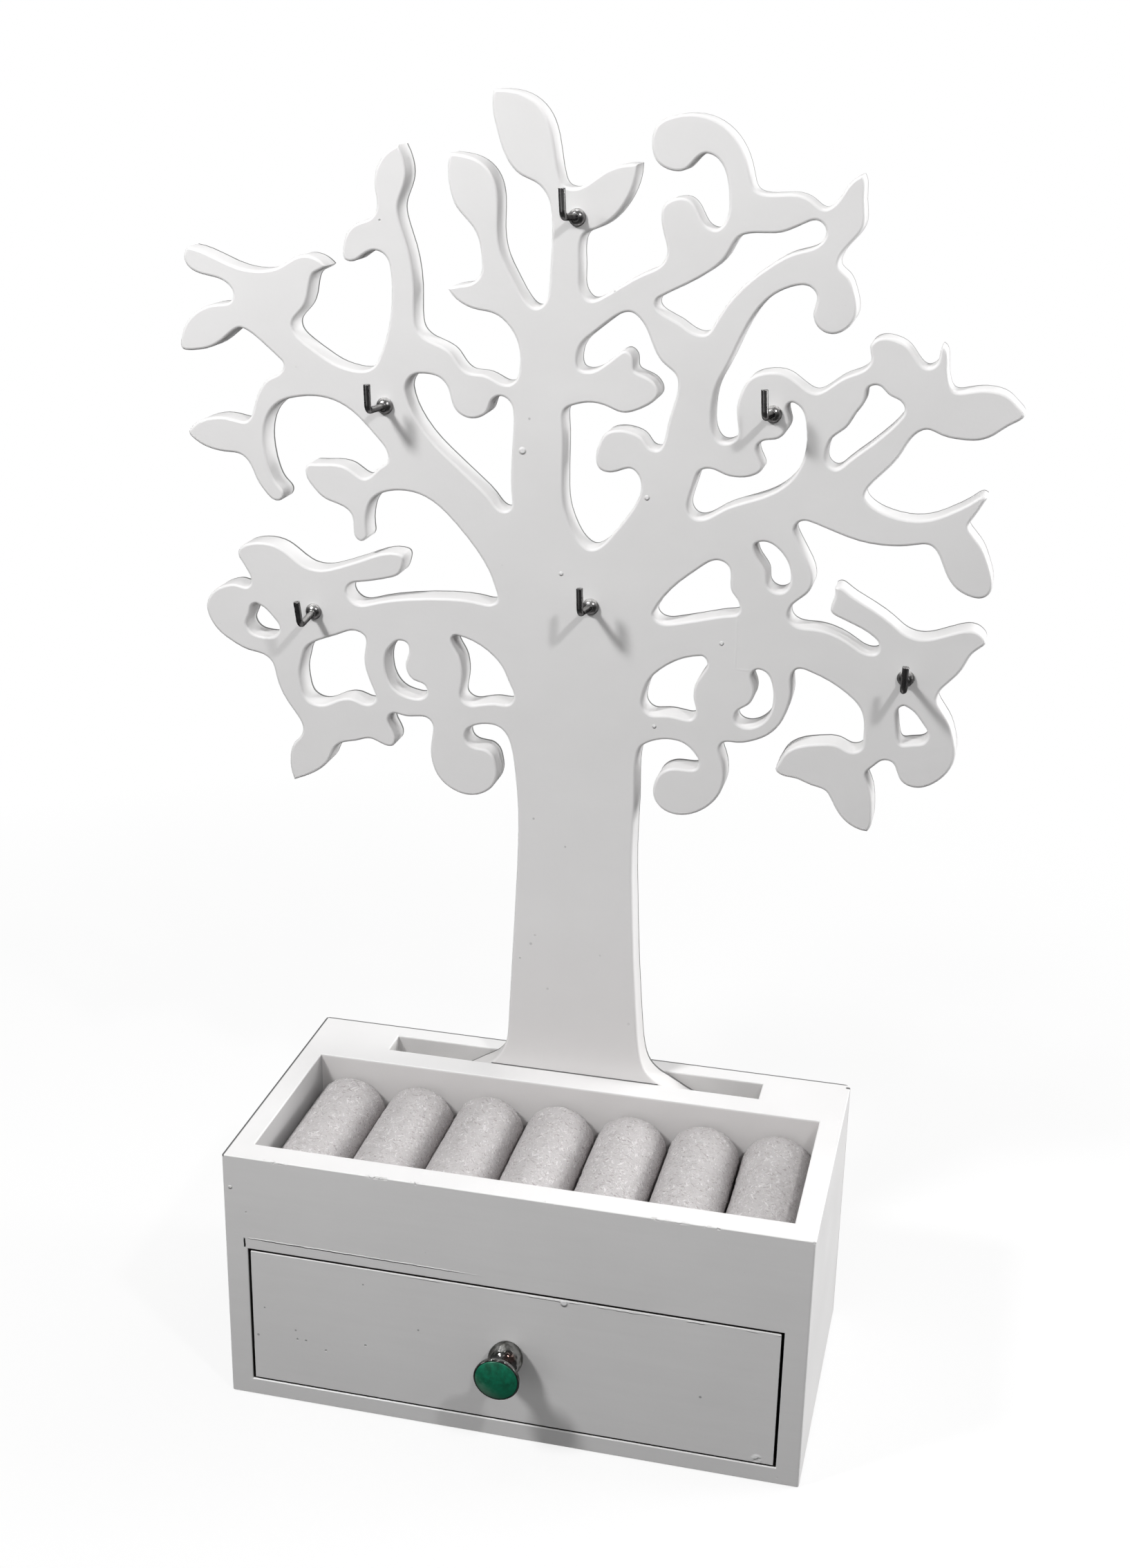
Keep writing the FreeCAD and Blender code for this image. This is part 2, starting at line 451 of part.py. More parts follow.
def box_parts():
    half_slot = slot_length / 2
    divider_half = inner_half + housing_depth
    return {
        "side_panel_left": side_panel(-1),
        "side_panel_right": side_panel(1),
        "bottom_panel": block(-inner_half, inner_half, front_y, slot_back_y,
                              0, bottom_thickness),
        "divider_panel": block(-divider_half, divider_half, front_y, slot_back_y,
                               opening_top, divider_top),
        "front_rail": block(-inner_half, inner_half, front_y, tray_front_y,
                            divider_top, box_height),
        "tray_back_wall": block(-inner_half, inner_half, tray_wall_front_y, slot_front_y,
                                divider_top, box_height),
        "slot_block_left": block(-inner_half, -half_slot, slot_front_y, slot_back_y,
                                 divider_top, box_height),
        "slot_block_right": block(half_slot, inner_half, slot_front_y, slot_back_y,
                                  divider_top, box_height),
        "back_panel": block(-inner_half, inner_half, slot_back_y, back_y, 0, box_height),
    }


def ring_rolls():
    pitch = 2 * inner_half / roll_count
    radius = pitch / 2 - roll_side_gap
    rolls = {}
    for number in range(roll_count):
        x = -inner_half + pitch * (number + 0.5)
        z = divider_top + radius
        start = FreeCAD.Vector(x, tray_front_y + roll_end_gap, z)
        end = FreeCAD.Vector(x, tray_wall_front_y - roll_end_gap, z)
        rolls["ring_roll_%d" % (number + 1)] = rod(radius, start, end)
    return rolls


def drawer_parts():
    half = inner_half - drawer_side_gap
    wall = drawer_wall_thickness
    base = bottom_thickness + drawer_runner_gap
    wall_front = front_y + drawer_front_thickness
    wall_back = slot_back_y - drawer_back_gap
    floor_z = base + drawer_floor_rise
    floor_top = floor_z + drawer_floor_thickness
    wall_top = base + drawer_wall_height

    front = block(-half, half, front_y, wall_front,
                  bottom_thickness + drawer_bottom_gap, opening_top - drawer_top_gap)
    hole_start = FreeCAD.Vector(knob_x, front_y, knob_z)
    hole_end = FreeCAD.Vector(knob_x, wall_front, knob_z)
    front = front.cut(rod(screw_radius + screw_hole_clearance, hole_start, hole_end))
    left = block(-half, -half + wall, wall_front, wall_back, base, wall_top)
    right = block(half - wall, half, wall_front, wall_back, base, wall_top)
    back = block(-half + wall, half - wall, wall_back - wall, wall_back, base, wall_top)
    floor = block(-half + wall - groove_depth, half - wall + groove_depth,
                  wall_front, wall_back - wall + groove_depth, floor_z, floor_top)
    liner = block(-half + wall + liner_gap, half - wall - liner_gap,
                  wall_front + liner_gap, wall_back - wall - liner_gap,
                  floor_top, floor_top + liner_thickness)
    return {
        "drawer_front": front,
        "drawer_side_left": left.cut(floor),
        "drawer_side_right": right.cut(floor),
        "drawer_back": back.cut(floor),
        "drawer_bottom": floor,
        "drawer_liner": liner,
    }


def knob_body():
    # Profile to the right of the knob's axis, from the drawer front out to the rim:
    # a ball, a waist behind the cap, and the cap that flares to a thin rim.
    cap_back = knob_rim_front - knob_rim_thickness
    ball_centre = knob_ball_centre
    foot_radius = math.sqrt(knob_ball_radius ** 2 - ball_centre ** 2)
    waist_y = ball_centre + math.sqrt(knob_ball_radius ** 2 - knob_neck_radius ** 2)

    def at(radius, out):
        return FreeCAD.Vector(radius, -out, 0)

    socket_y = knob_rim_front - knob_socket_depth
    profile = Part.Wire([
        Part.LineSegment(at(0, 0), at(foot_radius, 0)).toShape(),
        Part.Arc(at(foot_radius, 0), at(knob_ball_radius, ball_centre),
                 at(knob_neck_radius, waist_y)).toShape(),
        Part.Arc(at(knob_neck_radius, waist_y), at(knob_flare_radius, waist_y + knob_flare_length),
                 at(knob_cap_radius, cap_back)).toShape(),
        Part.LineSegment(at(knob_cap_radius, cap_back),
                         at(knob_cap_radius, knob_rim_front)).toShape(),
        Part.LineSegment(at(knob_cap_radius, knob_rim_front),
                         at(knob_face_radius, knob_rim_front)).toShape(),
        Part.LineSegment(at(knob_face_radius, knob_rim_front),
                         at(knob_face_radius, socket_y)).toShape(),
        Part.LineSegment(at(knob_face_radius, socket_y), at(0, socket_y)).toShape(),
        Part.LineSegment(at(0, socket_y), at(0, 0)).toShape(),
    ])
    body = Part.Face(profile).revolve(at(0, 0), FreeCAD.Vector(0, 1, 0), 360)
    thread = rod(screw_radius, at(0, 0), at(0, screw_grip))
    return body.cut(thread)


def knob_face():
    # A low domed green glass face set in the cap's socket.
    seat = -(knob_rim_front - knob_socket_depth)
    edge = -(knob_rim_front + knob_face_stand)
    crown = edge - knob_face_dome
    sphere = (knob_face_radius ** 2 + knob_face_dome ** 2) / (2 * knob_face_dome)
    half_radius = knob_face_radius / 2
    half_way = crown + sphere - math.sqrt(sphere ** 2 - half_radius ** 2)
    profile = Part.Wire([
        Part.LineSegment(FreeCAD.Vector(0, seat, 0),
                         FreeCAD.Vector(knob_face_radius, seat, 0)).toShape(),
        Part.LineSegment(FreeCAD.Vector(knob_face_radius, seat, 0),
                         FreeCAD.Vector(knob_face_radius, edge, 0)).toShape(),
        Part.Arc(FreeCAD.Vector(knob_face_radius, edge, 0),
                 FreeCAD.Vector(half_radius, half_way, 0),
                 FreeCAD.Vector(0, crown, 0)).toShape(),
        Part.LineSegment(FreeCAD.Vector(0, crown, 0), FreeCAD.Vector(0, seat, 0)).toShape(),
    ])
    return Part.Face(profile).revolve(FreeCAD.Vector(0, 0, 0), FreeCAD.Vector(0, 1, 0), 360)


def knob_screw():
    head_y = drawer_front_thickness
    head_end = head_y + screw_head_height
    shank = rod(screw_radius, FreeCAD.Vector(0, -screw_grip, 0), FreeCAD.Vector(0, head_y, 0))
    head = rod(screw_head_radius, FreeCAD.Vector(0, head_y, 0),
               FreeCAD.Vector(0, head_end, 0))
    recess = block(-screw_slot_width / 2, screw_slot_width / 2,
                   head_end - screw_slot_depth, head_end,
                   -screw_head_radius, screw_head_radius)
    return shank.fuse(head).cut(recess)


def knob_parts():
    parts = {"knob_body": knob_body(), "knob_face": knob_face(), "knob_screw": knob_screw()}
    for shape in parts.values():
        shape.translate(FreeCAD.Vector(knob_x, front_y, knob_z))
    return parts


def build():
    parts = box_parts()
    parts.update(ring_rolls())
    parts["tree_panel"] = tree_panel()
    for name, hook in hooks.items():
        parts[name] = hook_shape(hook)
    parts.update(drawer_parts())
    parts.update(knob_parts())
    return parts


os.makedirs("parts", exist_ok=True)
for name, shape in build().items():
    shape.exportStep("parts/%s.step" % name)
    print(name, len(shape.Solids), shape.isValid(), round(shape.Volume))
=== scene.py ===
import math

import bmesh
import bpy
import numpy as np
from mathutils import Matrix, Vector, noise
from mathutils.geometry import delaunay_2d_cdt


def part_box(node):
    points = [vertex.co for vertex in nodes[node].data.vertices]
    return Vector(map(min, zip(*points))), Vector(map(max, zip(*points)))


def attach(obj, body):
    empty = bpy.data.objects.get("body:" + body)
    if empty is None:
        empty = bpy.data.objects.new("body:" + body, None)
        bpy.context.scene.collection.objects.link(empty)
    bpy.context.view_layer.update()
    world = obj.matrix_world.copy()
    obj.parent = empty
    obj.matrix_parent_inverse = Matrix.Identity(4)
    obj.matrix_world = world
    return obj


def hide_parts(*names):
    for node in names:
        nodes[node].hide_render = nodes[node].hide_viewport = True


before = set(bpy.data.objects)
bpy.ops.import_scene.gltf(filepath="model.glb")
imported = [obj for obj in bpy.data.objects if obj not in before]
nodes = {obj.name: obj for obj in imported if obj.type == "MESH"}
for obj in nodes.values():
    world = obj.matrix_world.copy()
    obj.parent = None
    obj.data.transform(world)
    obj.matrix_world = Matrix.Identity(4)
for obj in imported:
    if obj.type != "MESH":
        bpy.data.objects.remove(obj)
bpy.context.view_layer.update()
mm = 0.001

camera = {
    "place": (0.143244, -0.597098, 0.452155),
    "azimuth": 13.146, "elevation": 20.734, "roll": 1.109,   # degrees
    "focalPixels": 2908.7, "imageHeight": 2268,
}


def makeCamera():
    azimuth, elevation, roll = (math.radians(camera[k]) for k in ("azimuth", "elevation", "roll"))
    back = Vector((math.sin(azimuth) * math.cos(elevation),
                   -math.cos(azimuth) * math.cos(elevation), math.sin(elevation)))
    right = Vector((0, 0, 1)).cross(back).normalized()
    up = back.cross(right)
    tiltedRight = right * math.cos(roll) + up * math.sin(roll)
    tiltedUp = up * math.cos(roll) - right * math.sin(roll)
    data = bpy.data.cameras.new("camera")
    data.sensor_width = 36
    data.lens = camera["focalPixels"] / camera["imageHeight"] * data.sensor_width
    data.clip_start, data.clip_end = 0.01, 50
    holder = bpy.data.objects.new("camera", data)
    turn = Matrix((tiltedRight, tiltedUp, back)).transposed().to_4x4()
    holder.matrix_world = Matrix.Translation(camera["place"]) @ turn
    bpy.context.scene.collection.objects.link(holder)
    bpy.context.scene.camera = holder


makeCamera()
print("camera placed")


class Wire:                        # one socket, so that shader maths reads as sums
    def __init__(self, finish, socket):
        self.finish = finish
        self.socket = socket

    def maths(self, operation, first, second):
        return self.finish.node("ShaderNodeMath", {"operation": operation}, {0: first, 1: second})

    def __add__(self, other):
        return self.maths("ADD", self, other)

    __radd__ = __add__

    def __mul__(self, other):
        return self.maths("MULTIPLY", self, other)

    __rmul__ = __mul__

    def __sub__(self, other):
        return self.maths("SUBTRACT", self, other)

    def __rsub__(self, other):
        return self.maths("SUBTRACT", other, self)

    def power(self, other):
        return self.maths("POWER", self, other)

    def above(self, edge, softness):          # 0 below the edge, 1 above it
        ramp = {"interpolation_type": "SMOOTHSTEP"}
        limits = {"Value": self, "From Min": edge - softness, "From Max": edge + softness}
        return self.finish.node("ShaderNodeMapRange", ramp, limits)

    def size(self):
        return self.maths("ABSOLUTE", self, 0)

    def most(self, other):
        return self.maths("MAXIMUM", self, other)

    def least(self, other):
        return self.maths("MINIMUM", self, other)


class Finish:                      # a material, and the one way its nodes are made
    def __init__(self, name, tree=None):
        if tree is None:
            self.material = bpy.data.materials.new(name)
            self.material.use_nodes = True
            tree = self.material.node_tree
        self.tree = tree
        self.tree.nodes.clear()

    def node(self, kind, settings=None, sockets=None, output=0):
        made = self.tree.nodes.new(kind)
        for name, value in (settings or {}).items():
            setattr(made, name, value)
        for name, value in (sockets or {}).items():
            if isinstance(value, Wire):
                self.tree.links.new(value.socket, made.inputs[name])
            elif isinstance(value, tuple) and len(value) == 3 and made.inputs[name].type == "RGBA":
                made.inputs[name].default_value = (*value, 1)
            else:
                made.inputs[name].default_value = value
        return Wire(self, made.outputs[output]) if made.outputs else None

    def place(self):
        return self.node("ShaderNodeTexCoord", output="Object")

    def axes(self, place):
        return [self.node("ShaderNodeSeparateXYZ", None, {0: place}, k) for k in range(3)]

    def stretched(self, place, scale, turn=(0, 0, 0)):
        return self.node("ShaderNodeMapping", None, {
            "Vector": place, "Scale": scale, "Rotation": turn})

    def clouds(self, place, scale, detail=2.0, rough=0.5, distortion=0.0):
        return self.node("ShaderNodeTexNoise", None, {
            "Vector": place, "Scale": scale, "Detail": detail,
            "Roughness": rough, "Distortion": distortion})

    def mixed(self, first, second, mask):
        made = self.node("ShaderNodeMix", {"data_type": "RGBA"}, {0: mask}, 2)
        for socket, value in ((6, first), (7, second)):
            mixer = made.socket.node
            if isinstance(value, Wire):
                self.tree.links.new(value.socket, mixer.inputs[socket])
            else:
                mixer.inputs[socket].default_value = (*value, 1)
        return made

    def bumped(self, height, depth, strength=1.0, normal=None):
        sockets = {"Height": height, "Distance": depth, "Strength": strength}
        if normal is not None:
            sockets["Normal"] = normal
        return self.node("ShaderNodeBump", None, sockets)

    def surface(self, **sockets):
        named = {name.replace("_", " "): value for name, value in sockets.items()}
        shader = self.node("ShaderNodeBsdfPrincipled", None, named)
        self.node("ShaderNodeOutputMaterial", None, {"Surface": shader})
        return self.material


paint = {
    "colour": (0.871, 0.864, 0.862), "cloudy": (0.819, 0.811, 0.809), "speck": (0.33, 0.33, 0.33),
    "roughness": 0.46, "peelDepth": 0.00003, "waveDepth": 0.00022, "brushDepth": 0.00003,
}


def paintNodes(finish, brushAcross=(30, 30, 400)):
    place = finish.place()
    broad = finish.clouds(place, 28, 3)
    peel = finish.clouds(place, 850, 2)
    brush = finish.clouds(finish.stretched(place, brushAcross), 1, 3, 0.6)
    cells = finish.node("ShaderNodeTexVoronoi", None, {"Vector": place, "Scale": 125.0})
    specks = 1 - cells.above(0.045, 0.015)
    pits = finish.clouds(place, 60, 2).above(0.6, 0.06) * specks
    tone = (broad - 0.5) * 1.1 + (brush - 0.5) * 0.7 + 0.45
    colour = finish.mixed(paint["cloudy"], paint["colour"], tone)
    colour = finish.mixed(colour, paint["speck"], pits * 0.55)
    rough = paint["roughness"] + (broad - 0.5) * 0.2 + (peel - 0.5) * 0.1
    return place, colour, rough, [(broad, paint["waveDepth"]), (peel, paint["peelDepth"]),
                                  (brush, paint["brushDepth"]), (pits * -1, 0.0002)]


def stackBumps(finish, heights):
    normal = None
    for height, depth in heights:
        normal = finish.bumped(height, depth, 1.0, normal)
    return normal


def band(value, centre, half, softness):     # 1 inside a stripe, 0 outside it
    return 1 - (value - centre).size().above(half, softness)


def spot(finish, place, centre, radius):     # 1 within a small ball round a point, in millimetres
    middle = tuple(value * mm for value in centre)
    away = finish.node("ShaderNodeVectorMath", {"operation": "DISTANCE"}, {0: place, 1: middle}, 1)
    return 1 - away.above(radius * mm, radius * mm * 0.4)


def spots(finish, place, centres):           # each centre is (x, y, z, radius)
    every = None
    for *centre, radius in centres:
        one = spot(finish, place, centre, radius)
        every = one if every is None else every.most(one)
    return every


# dark board inside the drawer room and on the drawer front's edges; its darkness also paints the
# shade of the narrow gaps round the drawer
rawBoardAndGapShade = (0.07, 0.064, 0.06)
# painted shade: a greyer paint for the lower trunk and the tray recess
paintedShadeGrey = (0.7, 0.685, 0.68)
# painted shade: a darker grey for the inside of the slot
slotShadePaint = (0.64, 0.63, 0.625)
edgeLineAndContactShade = (0.12, 0.12, 0.12)        # thin dark lines along the rear edges, and a painted contact shadow round the foot
leftWallShadePaint = (0.46, 0.455, 0.455)  # painted shade on the tray's left wall, darker than the rest
chipColour = (0.4, 0.39, 0.38)
seamHighlight = (0.95, 0.95, 0.95)
sillHighlight = (0.98, 0.98, 0.98)
crackColour = (0.02, 0.02, 0.02)


treeSpecks = [(-18.2, 33.4, 332.0, 0.4), (-23.0, 33.4, 345.0, 0.35), (-3.5, 33.4, 183.7, 0.35),
              (-15.4, 33.4, 145.0, 0.5), (21.0, 33.4, 118.0, 0.5), (-15.0, 33.4, 193.0, 0.4),
              (-26.0, 33.4, 158.0, 0.35), (-9.0, 33.4, 128.0, 0.45), (-2.3, 33.4, 296.1, 0.5)]
treePimples = [(-20.4, 33.4, 321.4, 1.0), (21.4, 33.4, 308.8, 0.7), (-33.4, 33.4, 309.6, 0.7),
               (-6.7, 33.4, 281.3, 0.6), (26.5, 33.4, 231.0, 0.6), (48.0, 33.4, 262.0, 0.6)]


def treePaint():
    finish = Finish("treePaint")
    place, colour, rough, heights = paintNodes(finish, (25, 25, 60))
    x, y, z = finish.axes(place)
    wander = (finish.clouds(place, 90, 2) - 0.5) * 0.0012
    upright = band(x + wander, 0.0527, 0.0001, 0.0005) * band(z, 0.2645, 0.0105, 0.001)
    level = band(z + wander, 0.2536, 0.0001, 0.0005) * band(x, 0.0555, 0.0022, 0.0008)
    ridge = upright.most(level)
    pimples = spots(finish, place, treePimples)
    marks = spots(finish, place, treeSpecks)
    heights += [(ridge, 0.0001), (pimples, 0.0004)]
    # painted highlight: the ridge is painted a little lighter than the board
    colour = finish.mixed(colour, (0.9, 0.9, 0.9), ridge * 0.3)
    colour = finish.mixed(colour, paint["speck"], marks * 0.5)
    # painted shade: the trunk below about 125 mm is greyer
    colour = finish.mixed(colour, paintedShadeGrey, 1 - z.above(0.125, 0.05))
    # painted shadow: a dark line across the foot where it meets the top of the box
    contactShadow = band(z, 0.0951, 0.0002, 0.0001) * (1 - y.above(0.0336, 0.0001))
    backEdge = band(y + (finish.clouds(place, 300, 2) - 0.5) * 0.0004, 0.043, 0.0006, 0.0001)
    colour = finish.mixed(colour, edgeLineAndContactShade, contactShadow.most(backEdge * 0.95))
    return finish.surface(Base_Color=colour, Roughness=rough, Normal=stackBumps(finish, heights))


def casePaint():
    finish = Finish("casePaint")
    place, colour, rough, heights = paintNodes(finish)
    x, y, z = finish.axes(place)
    ragged = finish.clouds(place, 420, 3)
    frontEdge = band(z, 0.0949, 0.0005, 0.0003) * band(y, -0.0519, 0.0006, 0.0003)
    chips = frontEdge * ragged.above(0.54, 0.05)
    chips = chips * finish.clouds(place, 60, 1).above(0.58, 0.05)
    front = 1 - y.above(-0.0519, 0.0001)
    seam = band(z + (ragged - 0.5) * 0.0006 + x * 0.006, 0.0631, 0.00008, 0.0003) * front
    seam = seam * (1 - x.above(-0.025, 0.02)) * x.above(-0.0915, 0.0006)
    seam = seam * finish.clouds(finish.stretched(place, (60, 1, 1)), 1, 2).above(0.36, 0.12)
    crack = band(x + (ragged - 0.5) * 0.0004, -0.09305, 0.00026, 0.0001)
    crack = crack * band(z, 0.0616, 0.0017, 0.0003) * front
    # painted shade: the walls of the drawer room behind the gaps take the dark board colour
    hidden = (1 - x.size().above(0.0922, 0.0002)) * (1 - z.above(0.0596, 0.0002))
    hidden = hidden * z.above(0.0061, 0.0001) * y.above(-0.0517, 0.0001)
    hidden = hidden * (1 - y.above(0.0447, 0.0001))
    hidden = hidden * z.above(0.0066, 0.0001).most(y.above(-0.0514, 0.0001))
    # painted shade: the tray recess and the slot are painted darker than the outside
    recess = (1 - x.size().above(0.0921, 0.0001)) * z.above(0.062, 0.0003)
    recess = recess * (1 - z.above(0.0943, 0.0003))
    recess = recess * y.above(-0.0432, 0.0003) * (1 - y.above(0.0447, 0.0001))
    leftWallShade = recess * (1 - x.above(-0.0917, 0.0001))
    # painted light: a near-white line along the front of the sill under the drawer
    sill = band(z, 0.0061, 0.0002, 0.0001) * (1 - y.above(-0.0514, 0.0002))
    sill = sill * x.above(-0.0925, 0.0003) * (1 - x.above(-0.01, 0.05))
    fleck = spot(finish, place, (-97.4, -52.0, 82.8), 0.6)
    heights += [(seam, 0.0008), (chips * -1, 0.0003), (crack * -1, 0.0006), (fleck, 0.0003)]
    # painted highlight: the raised seam above the drawer is painted lighter
    colour = finish.mixed(colour, seamHighlight, seam)
    colour = finish.mixed(colour, chipColour, chips * 0.45)
    colour = finish.mixed(colour, paintedShadeGrey, recess)
    colour = finish.mixed(colour, slotShadePaint, recess * y.above(0.0328, 0.0002))
    colour = finish.mixed(colour, leftWallShadePaint, leftWallShade)
    colour = finish.mixed(colour, rawBoardAndGapShade, hidden)
    colour = finish.mixed(colour, sillHighlight, sill)
    colour = finish.mixed(colour, crackColour, crack)
    top = z.above(0.0944, 0.0002)
    rims = (top * y.above(0.0511, 0.0003)).most(top * (1 - x.above(-0.0992, 0.0002)))
    rims = rims.most(band(y, 0.0493, 0.0006, 0.0003) * x.above(0.0985, 0.0003))
    colour = finish.mixed(colour, edgeLineAndContactShade, rims)
    return finish.surface(Base_Color=colour, Roughness=rough, Normal=stackBumps(finish, heights))


drawerSpecks = [(-89.4, -52.0, 25.0, 0.45), (-86.7, -52.0, 36.6, 0.3), (-75.6, -52.0, 29.3, 0.35),
                (-50.8, -52.0, 52.3, 0.3), (-31.4, -52.0, 37.6, 0.35), (65.7, -52.0, 29.5, 0.45)]


def drawerPaint():
    finish = Finish("drawerPaint")
    place, colour, rough, heights = paintNodes(finish)
    x, y, z = finish.axes(place)
    ragged = finish.clouds(place, 300, 3)
    front = 1 - y.above(-0.0519, 0.0001)
    bead = band(z + (ragged - 0.5) * 0.0008, 0.0581, 0.00005, 0.0003) * front
    bead = bead * finish.clouds(finish.stretched(place, (90, 1, 1)), 1, 2).above(0.5, 0.05)
    bead = bead * x.above(-0.03, 0.03)
    bead = bead.most(spot(finish, place, (19.0, -52.0, 57.5), 1.1))
    flake = spot(finish, place, (85.5, -52.0, 8.6), 1.6) * ragged.above(0.45, 0.1)
    marks = spots(finish, place, drawerSpecks)
    # painted shade: the drawer front's edges behind its face take the dark board colour, darkening
    # the gaps
    sides = x.size().above(0.0908, 0.0001).most(z.above(0.0584, 0.0001))
    sides = sides.most(1 - z.above(0.0073, 0.0001)) * y.above(-0.0517, 0.0001)
    heights += [(bead, 0.0004), (flake, 0.0002)]
    # painted highlight: the raised bead, its drip and the flake are painted lighter
    colour = finish.mixed(colour, (0.97, 0.97, 0.97), bead.most(flake) * 0.8)
    colour = finish.mixed(colour, paint["speck"], marks * 0.8)
    colour = finish.mixed(colour, rawBoardAndGapShade, sides)
    return finish.surface(Base_Color=colour, Roughness=rough, Normal=stackBumps(finish, heights))


def boardFinish():
    finish = Finish("drawerBoard")
    place, colour, rough, heights = paintNodes(finish)
    fibre = finish.clouds(finish.stretched(place, (40, 300, 300)), 1, 4, 0.65)
    colour = finish.mixed(colour, (0.7, 0.69, 0.67), fibre.above(0.55, 0.1) * 0.5)
    return finish.surface(Base_Color=colour, Roughness=rough, Normal=stackBumps(finish, heights))


felt = {"pale": (0.82, 0.8, 0.8), "body": (0.53, 0.508, 0.51), "deep": (0.2, 0.16, 0.16),
        "napDepth": 0.0005, "fibreDepth": 0.0002}


def strands(finish, place, turn, across, along):      # short fibres lying one way
    lying = finish.stretched(finish.stretched(place, (1, 1, 1), (0, 0, math.radians(turn))),
                             (across, along, across))
    return finish.clouds(lying, 1.0, 2, 0.5, 0.6)


def feltFinish():
    finish = Finish("feltNap")
    place = finish.place()
    wander = finish.node("ShaderNodeTexNoise", None, {"Vector": place, "Scale": 260.0}, 1)
    wander = finish.stretched(wander, (0.0016, 0.0016, 0.0016))
    bent = finish.node("ShaderNodeVectorMath", {"operation": "ADD"}, {0: place, 1: wander})
    light = strands(finish, bent, 35, 1400, 300).most(strands(finish, bent, -20, 1500, 330))
    dark = strands(finish, bent, 65, 1400, 320).most(strands(finish, bent, -55, 1300, 300))
    grain = finish.clouds(place, 2600, 2, 0.6)
    patch = finish.clouds(place, 150, 3)
    lightMask = light.above(0.64, 0.05)
    darkMask = dark.above(0.65, 0.05)
    # painted shade: below 81 mm, between the rolls, the felt is darkened
    valleyShade = 1 - finish.axes(place)[2].above(0.081, 0.0035)
    colour = finish.mixed(felt["body"], felt["pale"], lightMask * 0.62 + (patch - 0.5) * 0.7)
    shade = darkMask * 0.5 + (grain - 0.5) * 0.4 + valleyShade * 0.35
    colour = finish.mixed(colour, felt["deep"], shade)
    normal = stackBumps(finish, [(patch, felt["napDepth"]), (light - dark, felt["napDepth"]),
                                 (grain, felt["fibreDepth"])])
    return finish.surface(Base_Color=colour, Roughness=0.95, Normal=normal,
                          Sheen_Weight=0.15, Sheen_Roughness=0.5)


def hookSteel():
    finish = Finish("hookSteel")
    place = finish.place()
    smudge = finish.clouds(place, 500, 3)
    drawn = finish.clouds(finish.stretched(place, (2500, 300, 2500)), 1, 2)
    # painted highlight: upward-facing surfaces of the wire are painted light
    upwardHighlight = finish.axes(finish.node("ShaderNodeNewGeometry", output="Normal"))[2].above(0.6, 0.25)
    colour = finish.mixed((0.16, 0.156, 0.156), (0.28, 0.275, 0.275), smudge)
    colour = finish.mixed(colour, (0.85, 0.84, 0.83), upwardHighlight * 0.9)
    return finish.surface(Base_Color=colour, Metallic=1.0, Roughness=0.22 + smudge * 0.12,
                          Specular_Tint=(0.1, 0.1, 0.1), Normal=finish.bumped(drawn, 0.00002))


def screwSteel():
    finish = Finish("screwSteel")
    place = finish.place()
    smudge = finish.clouds(place, 700, 3)
    colour = finish.mixed((0.42, 0.42, 0.41), (0.6, 0.6, 0.58), smudge)
    return finish.surface(Base_Color=colour, Metallic=1.0, Roughness=0.3 + smudge * 0.15,
                          Normal=finish.bumped(smudge, 0.00003))


def knobChrome():
    finish = Finish("knobChrome")
    place = finish.place()
    smudge = finish.clouds(place, 350, 4, 0.6)
    dents = finish.clouds(place, 300, 1)
    # painted reflection: a brown patch on the ball
    brownReflection = spot(finish, place, (2.4, -59.5, 38.0), 1.9)
    colour = finish.mixed((0.16, 0.16, 0.15), (0.4, 0.4, 0.39), smudge.above(0.48, 0.12))
    colour = finish.mixed(colour, (0.16, 0.05, 0.035), brownReflection * 0.55)
    return finish.surface(Base_Color=colour, Metallic=1.0, Roughness=0.05 + smudge * 0.1,
                          Specular_Tint=(0.3, 0.3, 0.3), Normal=finish.bumped(dents, 0.0008))


def greenEnamel():
    finish = Finish("greenEnamel")
    place = finish.place()
    x, _, z = finish.axes(place)
    mottle = finish.clouds(place, 420, 4, 0.65)
    grain = finish.clouds(place, 2600, 2, 0.6)
    # painted reflection: a grey patch at the lower left edge of the face
    greyReflection = (0.0335 - z * 1.0 - x * 0.7 + (mottle - 0.5) * 0.008).above(0.0045, 0.004)
    # painted light: the lower part of the face is a brighter green
    low = 1 - (z + (mottle - 0.5) * 0.006).above(0.031, 0.004)
    colour = finish.mixed((0.001, 0.09, 0.045), (0.002, 0.2, 0.105), mottle.above(0.5, 0.2))
    colour = finish.mixed(colour, (0.003, 0.33, 0.17), low * 0.6)
    colour = finish.mixed(colour, (0.17, 0.27, 0.21), greyReflection * 0.75)
    colour = finish.mixed(colour, (0.04, 0.3, 0.18), (grain - 0.45) * 0.4)
    return finish.surface(Base_Color=colour, Roughness=0.35 + grain * 0.15,
                          Normal=finish.bumped(grain, 0.00003), Coat_Weight=0.2, Coat_Roughness=0.2)


finishes = {
    "tree": treePaint(), "case": casePaint(), "drawer": drawerPaint(), "board": boardFinish(),
    "felt": feltFinish(), "hook": hookSteel(), "screw": screwSteel(),
    "chrome": knobChrome(), "enamel": greenEnamel(),
}
print("finishes made")


def addPiece(name, mesh, finish, body, smooth=True, sharpAngle=None):
    piece = bpy.data.objects.new(name, mesh)
    bpy.context.scene.collection.objects.link(piece)
    mesh.materials.clear()
    mesh.materials.append(finishes[finish])
    mesh.polygons.foreach_set("use_smooth", [smooth] * len(mesh.polygons))
    if sharpAngle is not None:
        mesh.set_sharp_from_angle(angle=math.radians(sharpAngle))
    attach(piece, body)
    return piece


